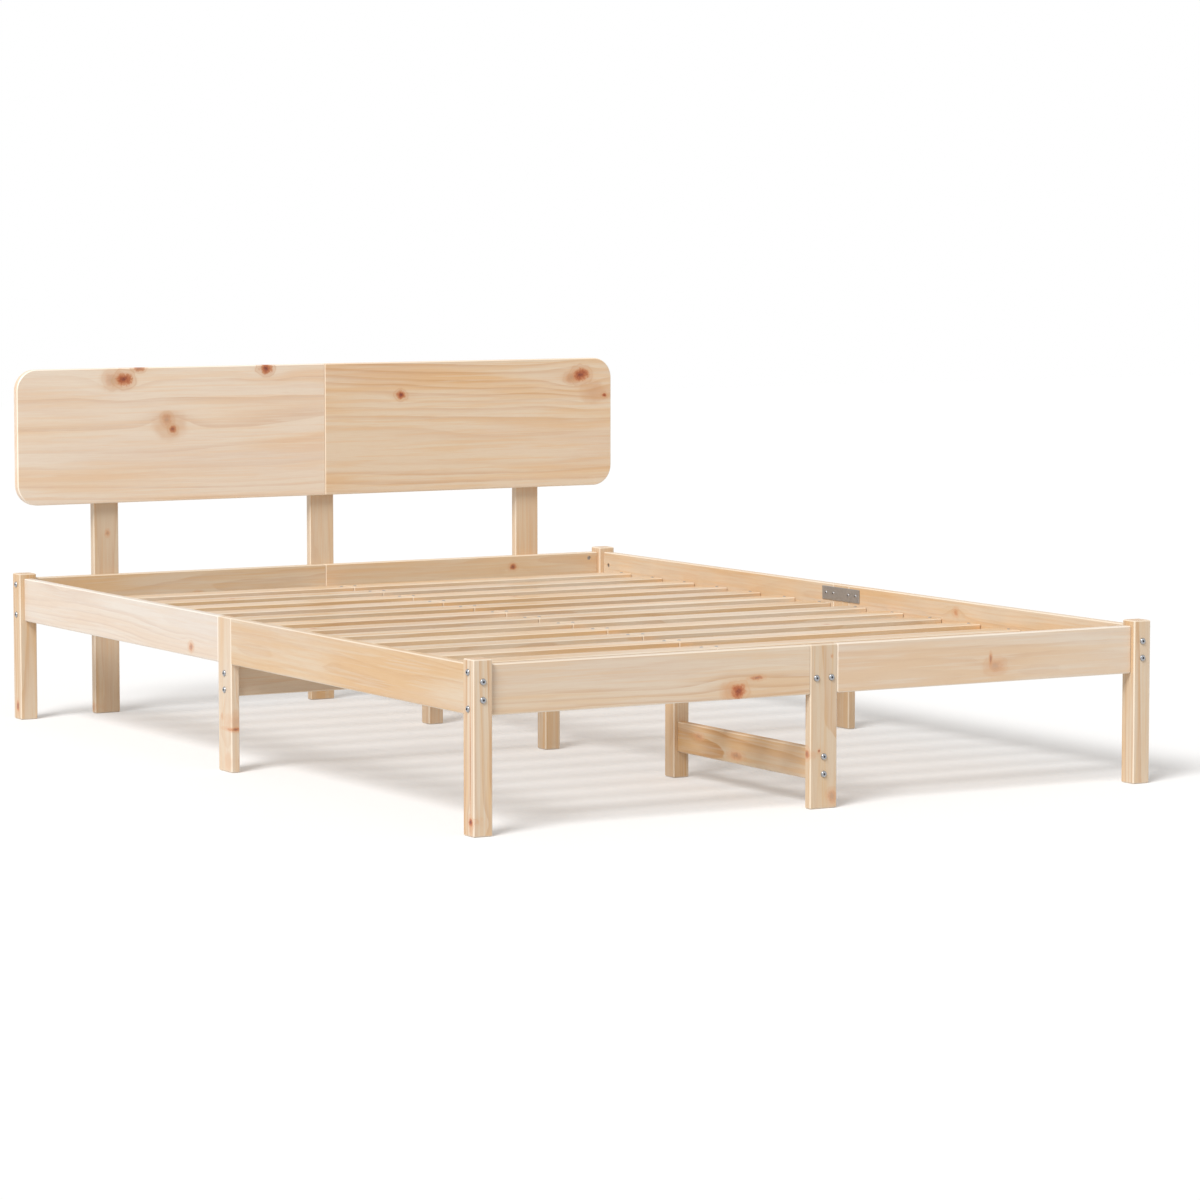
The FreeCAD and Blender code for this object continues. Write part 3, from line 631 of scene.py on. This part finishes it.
# What the photograph sets apart in boards whose names begin so. A later entry goes over an earlier one
SET_APART = (
    ("headboard_panel_left", dict(ring=0.0105, strength=0.6, tone=1.19, vivid=0.74, round_axis="Y")),
    ("headboard_panel_right", dict(ring=0.0125, strength=0.7, tone=1.10, vivid=0.97, round_axis="Y")),
    ("leg", dict(ring=0.0088, strength=0.95)),
    ("leg_front_left", dict(strength=1.9, tone=0.975, vivid=0.95)),
    ("leg_board_left", dict(tone=0.98, vivid=0.90)),
    ("leg_board_foot", dict(tone=0.92, vivid=1.05)),
    ("foot_rail_left", dict(ring=0.0085, strength=0.65, tone=0.995, vivid=0.88, flow=0.4)),
    ("foot_rail_right", dict(ring=0.0085, strength=1.0, tone=1.02, vivid=0.78)),
    ("foot_brace", dict(ring=0.0088, strength=1.3, tone=0.93, vivid=1.10)),
    ("side_rail_left_rear", dict(tone=1.03, vivid=0.54)),
)

# Boards whose pith is given one by one, so that their rings look like the photograph's
HEARTS = {
    "headboard_panel_left": Vector((0, 0.10, 0.05)),
    "headboard_panel_right": Vector((0, 0.10, -0.04)),
    "leg_front_left": Vector((0, 0.05, 0.05)),
}


def grain_of(name):
    """The axis of a board's grain, which is the long one, also for slats that are cut short."""
    if name.startswith("slat_row"):
        return "X"
    low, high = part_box(name)
    size = high - low
    return AXES[max(range(3), key=lambda axis: size[axis])]


def heart_of(number, grain, size):
    """A board's pith from its centre: off its wide face, but along Y where the grain runs along X."""
    off = PITH_NEAR + PITH_SPREAD * (number % PITH_PLACES) / (PITH_PLACES - 1)
    aside = off * math.cos(number * PITH_TURN)
    across, through = (size[AXES.index(axis)] for axis in AXES.replace(grain, ""))
    if grain == "X" or across < through:
        return Vector((0, off, aside * PITH_BESIDE))
    return Vector((0, aside * PITH_BELOW, off))


def slat_knots(name):
    """The knots of one slat, on its upper face."""
    row = int(name[-2:])
    if row not in SLAT_KNOTS:
        return ()
    low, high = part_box(name)
    side, along, across = SLAT_KNOTS[row]
    spot = (side * along * high.x, (low.y + high.y) / 2 + across * (high.y - low.y), high.z)
    return [knot(spot, "Z", SLAT_KNOT_RADIUS, SLAT_KNOT_DEPTH)]


def dress(name, material):
    """Gives a CAD node its material."""
    node = nodes[name]
    node.data.materials.clear()
    node.data.materials.append(material)


def finish_boards():
    """Each board gets wood of its own, cut from its own place in a log."""
    others = ("bolts", "barrel", "joining")
    boards = [name for name in sorted(nodes) if not name.startswith(others) and "dowel" not in name]
    for number, name in enumerate(boards):
        low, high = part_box(name)
        grain = grain_of(name)
        middle, spread = INNER_TONE if name.startswith(("slat_row", "ledger")) else TONE
        settings = {"tone": middle + spread * math.sin(number * PITH_TURN)}
        for start, changes in SET_APART:
            if name.startswith(start):
                settings.update(changes)
        heart = HEARTS[name] if name in HEARTS else heart_of(number, grain, high - low)
        knots = slat_knots(name) if name.startswith("slat_row") else KNOTS.get(name, ())
        seed = number * SEED_STEP + SEED_FIRST
        dress(name, pine(f"wood_{name}", grain, (low + high) / 2, heart, seed, knots=knots, **settings))


def finish_dowels():
    """Beech: fine rings and a plain colour."""
    for number, name in enumerate(name for name in sorted(nodes) if "dowel" in name):
        low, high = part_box(name)
        seed = number + BEECH_SEED
        dress(name, pine(f"wood_{name}", "X", (low + high) / 2, BEECH_HEART, seed, **BEECH))


# Meshes

def new_piece(name, build, materials):
    """An object made by filling a bmesh, which rides with the frame. The second material paints shade into
    recesses.
    """
    mesh = bpy.data.meshes.new(name)
    shape = bmesh.new()
    build(shape)
    bmesh.ops.remove_doubles(shape, verts=shape.verts, dist=WELD)
    bmesh.ops.recalc_face_normals(shape, faces=shape.faces)
    for face in shape.faces:
        face.smooth = True
    for edge in shape.edges:
        if len(edge.link_faces) == 2 and edge.calc_face_angle(0.0) > SHARP_FROM:
            edge.smooth = False
    shape.to_mesh(mesh)
    shape.free()
    for material in materials:
        mesh.materials.append(material)
    piece = bpy.data.objects.new(name, mesh)
    bpy.context.scene.collection.objects.link(piece)
    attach(piece, "root")
    return piece


def directions(sides):
    """Even directions round the Z axis, as x and y."""
    angles = [2 * math.pi * i / sides for i in range(sides)]
    return [(math.cos(angle), math.sin(angle)) for angle in angles]


def circle(radius, height, sides):
    """Points of a circle round the Z axis."""
    return [Vector((radius * x, radius * y, height)) for x, y in directions(sides)]


def hexagon(radius, height, sides):
    """A hexagon's outline as the given number of points, a multiple of six."""
    corners = circle(radius, height, 6)
    each = sides // 6
    return [corners[i // each].lerp(corners[(i // each + 1) % 6], (i % each) / each) for i in range(sides)]


def slot_loop(reach, wide, height, sides):
    """A long rectangle's outline as points."""
    loop = []
    for x, y in directions(sides):
        along = max(-1.0, min(1.0, x / math.cos(2 * math.pi / sides)))
        aside = math.copysign(wide / 2, y) if abs(y) > NEARLY_NOTHING else 0.0
        loop.append(Vector((reach * along, aside, height)))
    return loop


def cross_loop(reach, wide, height, sides):
    """A plus-shaped outline as points, each a direction's distance to the plus."""
    loop = []
    for x, y in directions(sides):
        longer, shorter = max(abs(x), abs(y)), max(min(abs(x), abs(y)), NEARLY_NOTHING)
        distance = min(reach / longer, max(wide / 2 / shorter, wide / 2 * math.sqrt(2)))
        loop.append(Vector((x * distance, y * distance, height)))
    return loop


def skin(shape, loops, place, recess_from=None):
    """Joins closed loops of points with the same count into a tube, and fills its two ends.

    From the loop number recess_from on, the faces take the piece's second material, which paints the shade
    inside the recess.
    """
    rows = [[shape.verts.new(place @ point) for point in loop] for loop in loops]
    first_dark = len(rows) if recess_from is None else recess_from
    for number, (lower, upper) in enumerate(zip(rows, rows[1:]), start=1):
        for i in range(len(lower)):
            j = (i + 1) % len(lower)
            face = shape.faces.new((lower[i], lower[j], upper[j], upper[i]))
            face.material_index = 1 if number >= first_dark else 0
    shape.faces.new(rows[0])
    shape.faces.new(rows[-1]).material_index = 0 if recess_from is None else 1


def corners_of(points):
    """The lowest and highest corner of a set of points."""
    low = Vector([min(point[i] for point in points) for i in range(3)])
    high = Vector([max(point[i] for point in points) for i in range(3)])
    return low, high


def islands(name):
    """The vertices of each separate solid in a CAD node, in the order of the solids' lowest corners."""
    shape = bmesh.new()
    shape.from_mesh(nodes[name].data)
    bmesh.ops.remove_doubles(shape, verts=shape.verts, dist=CAD_WELD)
    left = set(shape.verts)
    found = []
    while left:
        group = set()
        front = {left.pop()}
        while front:
            group |= front
            front = {edge.other_vert(vert) for vert in front for edge in vert.link_edges} - group
        left -= group
        found.append([vert.co.copy() for vert in group])
    shape.free()
    return sorted(found, key=lambda points: [round(value, 4) for value in corners_of(points)[0]])


def long_axis(points):
    """The middle of a solid's box, its longest axis and half its length along that."""
    low, high = corners_of(points)
    size = high - low
    axis = max(range(3), key=lambda i: size[i])
    return (low + high) / 2, axis, size[axis] / 2


def standing(place, direction):
    """The matrix that puts a piece drawn along +Z at a place, facing the direction."""
    return Matrix.Translation(place) @ direction.to_track_quat("Z", "Y").to_matrix().to_4x4()


def unit(axis, sign):
    """The direction along an axis, given by its number."""
    way = Vector((0, 0, 0))
    way[axis] = sign
    return way


# Bolts and nuts

def bolt_shape(shape, place, head_radius, head_high, shank_radius, length):
    """A domed head with a hexagon socket on a plain shank. Its seat is at height 0."""
    mouth = SOCKET_RADIUS + SOCKET_SLOPE
    profile = [
        (shank_radius * SHANK_TIP_SHARE, -length),
        (shank_radius, -length + shank_radius * SHANK_EASE_SHARE),
        (shank_radius, 0),
        (head_radius, 0),
        (head_radius, HEAD_RIM),
    ]
    for step in range(1, HEAD_STEPS + 1):
        share = step / HEAD_STEPS
        arch = math.sqrt(max(0.0, 1 - (1 - share) ** 2))
        radius = head_radius + (mouth - head_radius) * share
        profile.append((radius, HEAD_RIM + (head_high - HEAD_RIM) * arch))
    loops = [circle(radius, height, BOLT_SIDES) for radius, height in profile]
    loops.append(hexagon(SOCKET_RADIUS, head_high - SOCKET_SLOPE / 2, BOLT_SIDES))
    loops.append(hexagon(SOCKET_RADIUS, head_high - SOCKET_DEEP, BOLT_SIDES))
    loops.append(circle(SOCKET_TIP_RADIUS, head_high - SOCKET_TIP_DEEP, BOLT_SIDES))
    skin(shape, loops, place, recess_from=len(loops) - 2)


def plain_bolt(points):
    """Where the CAD's plain bolt has its seat, which way its head faces, and its sizes for bolt_shape."""
    middle, axis, half = long_axis(points)
    wide = {-1: 0.0, 1: 0.0}
    for point in points:
        offset = point - middle
        sign = 1 if offset[axis] > 0 else -1
        offset[axis] = 0
        wide[sign] = max(wide[sign], offset.length)
    facing = unit(axis, max(wide, key=wide.get))
    head = []
    for point in points:
        height = (point - middle).dot(facing)
        if (point - middle - facing * height).length > HEAD_REACHES_PAST:
            head.append(round(height, 6))
    seat = min(head)
    return middle + facing * seat, facing, (max(wide.values()), half - seat, min(wide.values()), half + seat)


def bolts(name):
    """Full bolts in the places of the CAD node's plain ones."""
    def build(shape):
        for number, points in enumerate(islands(name)):
            place, facing, sizes = plain_bolt(points)
            bolt_shape(shape, standing(place, facing) @ Matrix.Rotation(number * BOLT_TURN, 4, "Z"), *sizes)
    piece = new_piece(name.replace("bolts", "domed_bolts"), build, (bolt_steel, socket_shade_steel))
    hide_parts(name)


def nuts():
    """Round barrel nuts with a slot for a screwdriver in each end."""
    def build(shape):
        for points in islands("barrel_nuts"):
            middle, axis, half = long_axis(points)
            loops = []
            for sign in (-1, 1):
                end = [
                    slot_loop(NUT_SLOT_REACH, NUT_SLOT_WIDE, sign * (half - NUT_SLOT_DEEP), NUT_SIDES),
                    slot_loop(NUT_SLOT_REACH, NUT_SLOT_WIDE, sign * half, NUT_SIDES),
                    circle(NUT_RADIUS - NUT_EASE, sign * half, NUT_SIDES),
                    circle(NUT_RADIUS, sign * (half - NUT_EASE), NUT_SIDES),
                ]
                loops += end if sign < 0 else reversed(end)
            skin(shape, loops, standing(middle, unit(axis, 1)))
    piece = new_piece("round_barrel_nuts", build, (plate_steel,))
    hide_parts("barrel_nuts")


# Wood screws

def screw_shape(shape, place):
    """A low raised screw head with a cross recess, seated at height 0."""
    profile = [(SCREW_HEAD_RADIUS * SCREW_NECK_SHARE, -SCREW_SINK), (SCREW_HEAD_RADIUS, 0)]
    for step in range(1, SCREW_STEPS + 1):
        share = step / SCREW_STEPS
        radius = SCREW_HEAD_RADIUS + (SCREW_CROSS * SCREW_MOUTH_SHARE - SCREW_HEAD_RADIUS) * share
        profile.append((radius, SCREW_HEAD_HIGH * math.sin(share * math.pi / 2)))
    loops = [circle(radius, height, SCREW_SIDES) for radius, height in profile]
    top, foot = SCREW_CROSS_TOP_SHARE, SCREW_CROSS_FOOT_SHARE
    bottom = SCREW_HEAD_HIGH - SCREW_CROSS_DEEP
    loops.append(cross_loop(SCREW_CROSS * top, SCREW_CROSS_WIDE, SCREW_HEAD_HIGH, SCREW_SIDES))
    loops.append(cross_loop(SCREW_CROSS * foot, SCREW_CROSS_WIDE * foot, bottom, SCREW_SIDES))
    skin(shape, loops, place, recess_from=len(loops) - 1)


def screws(name, places):
    """Screw heads at places, each with the direction that it faces."""
    def build(shape):
        for number, (place, direction) in enumerate(places):
            turn = Matrix.Rotation(number * SCREW_TURN, 4, "Z")
            screw_shape(shape, standing(Vector(place), Vector(direction)) @ turn)
    new_piece(name, build, (plate_steel, socket_shade_steel))


def slat_screws():
    """Two screws in each slat, into the ledger and into the centre beam."""
    ledger_low, ledger_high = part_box("ledger_right_front")
    beam_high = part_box("centre_beam_foot")[1]
    places = []
    for name in sorted(nodes):
        if name.startswith("slat_row"):
            low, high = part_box(name)
            for sign in (-1, 1):
                for across in ((ledger_low.x + ledger_high.x) / 2, beam_high.x / 2 + BEAM_SCREW_ASIDE):
                    places.append(((sign * across, (low.y + high.y) / 2, high.z), (0, 0, 1)))
    return places


def ledger_screws():
    """A row of screws through each ledger into its side rail."""
    places = []
    for end in ("front", "rear"):
        for side, sign in (("left", 1), ("right", -1)):
            low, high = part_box(f"ledger_{side}_{end}")
            inner = high.x if sign > 0 else low.x
            for number in range(LEDGER_SCREWS):
                along = low.y + (high.y - low.y) * (number + 0.5) / LEDGER_SCREWS
                places.append(((inner, along, (low.z + high.z) / 2), (sign, 0, 0)))
    return places


def post_screws():
    """Screws in the backs of the headboard's posts, into the panels and the head rail."""
    rail_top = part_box("head_rail_left")[1].z
    panel_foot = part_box("headboard_panel_left")[0].z
    places = []
    for side in ("left", "centre", "right"):
        low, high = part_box(f"headboard_post_{side}")
        middle = (low.x + high.x) / 2
        aside = (high.x - low.x) / 4
        for up in (
            panel_foot + PANEL_SCREW_UP, (panel_foot + high.z) / 2, high.z - POST_SCREW_DOWN,
            rail_top - RAIL_SCREW_DOWN,
        ):
            for sign in (-1, 1):
                places.append(((middle + sign * aside, high.y, up), (0, 1, 0)))
    return places


def plate_screws():
    """Four screws in each joining plate."""
    places = []
    for points in islands("joining_plates"):
        middle, axis, half = long_axis(points)
        flat = 1 - axis
        inward = -1 if middle[flat] > 0 else 1
        face = max(point[flat] * inward for point in points) * inward
        for share in PLATE_SCREW_SHARES:
            place = middle.copy()
            place[axis] += share * half
            place[flat] = face
            places.append((place, unit(flat, inward)))
    return places


# Floor, world, lamp and camera

def lit_for_camera(g, seen, unseen):
    """One shader for what the camera, mirrors and glass see, another for the light that the rest gets."""
    path = g.add("ShaderNodeLightPath").outputs
    share = g.math("MAXIMUM", path["Is Camera Ray"], path["Is Glossy Ray"])
    share = g.math("MAXIMUM", share, path["Is Transmission Ray"])
    mixer = g.add("ShaderNodeMixShader")
    g.feed_all((share, unseen, seen), mixer)
    return mixer.outputs[0]


def floor():
    """A pale floor that keeps the object's shadow and is lifted to white for the camera alone."""
    mesh = bpy.data.meshes.new("floor")
    corners = [(x * FLOOR_HALF, y * FLOOR_HALF, -FLOOR_GAP) for x, y in ((-1, -1), (1, -1), (1, 1), (-1, 1))]
    mesh.from_pydata(corners, [], [(0, 1, 2, 3)])
    sheet = bpy.data.objects.new("floor", mesh)
    bpy.context.scene.collection.objects.link(sheet)
    material, g, shader = new_material("floor")
    material.node_tree.nodes.remove(shader)
    matt = g.add("ShaderNodeBsdfDiffuse")
    matt.inputs["Color"].default_value = FLOOR_COLOUR
    lift = g.add("ShaderNodeEmission")
    lift.inputs["Strength"].default_value = FLOOR_LIFT
    both = g.add("ShaderNodeAddShader")
    g.feed_all((matt.outputs[0], lift.outputs[0]), both)
    surface = material.node_tree.nodes["Material Output"].inputs["Surface"]
    g.feed(lit_for_camera(g, both.outputs[0], matt.outputs[0]), surface)
    mesh.materials.append(material)


def surroundings():
    """A soft sky for the light, and white for what the camera sees."""
    world = bpy.data.worlds.new("studio")
    bpy.context.scene.world = world
    world.use_nodes = True
    g = Graph(world.node_tree)
    sky = world.node_tree.nodes["Background"]
    sky.inputs["Color"].default_value = SKY_COLOUR
    sky.inputs["Strength"].default_value = SKY_STRENGTH
    backdrop = g.add("ShaderNodeBackground")
    backdrop.inputs["Color"].default_value = WHITE
    surface = world.node_tree.nodes["World Output"].inputs["Surface"]
    g.feed(lit_for_camera(g, backdrop.outputs[0], sky.outputs[0]), surface)


def sun():
    lamp = bpy.data.lights.new("sun", "SUN")
    lamp.energy = SUN_STRENGTH
    lamp.angle = math.radians(SUN_SPREAD)
    thing = bpy.data.objects.new("sun", lamp)
    thing.rotation_euler = Vector(SUN_FROM).to_track_quat("Z", "Y").to_euler()
    bpy.context.scene.collection.objects.link(thing)


def camera():
    data = bpy.data.cameras.new("camera")
    data.sensor_width = CAMERA_SENSOR
    data.lens = CAMERA_LENS
    data.clip_end = CAMERA_SEES_TO
    thing = bpy.data.objects.new("camera", data)
    thing.location = CAMERA_PLACE
    thing.rotation_euler = (math.radians(90 - CAMERA_PITCH_DOWN), 0, math.radians(-CAMERA_YAW))
    bpy.context.scene.collection.objects.link(thing)
    bpy.context.scene.camera = thing


# The frame's finishes and small parts, and then the studio

finish_boards()
finish_dowels()
plate_steel = metal("plate_steel", *PLATE_STEEL)
bolt_steel = metal("bolt_steel", *BOLT_STEEL)
# Dark steel that paints the shade inside the sockets of bolts and the crosses of screws
socket_shade_steel = metal("socket_shade_steel", *SOCKET_SHADE_STEEL)
dress("joining_plates", plate_steel)
bolts("bolts_long")
bolts("bolts_short")
nuts()
screws("slat_screws", slat_screws())
screws("ledger_screws", ledger_screws())
screws("post_screws", post_screws())
screws("plate_screws", plate_screws())

floor()
surroundings()
sun()
camera()
bpy.context.scene.view_settings.view_transform = "Standard"
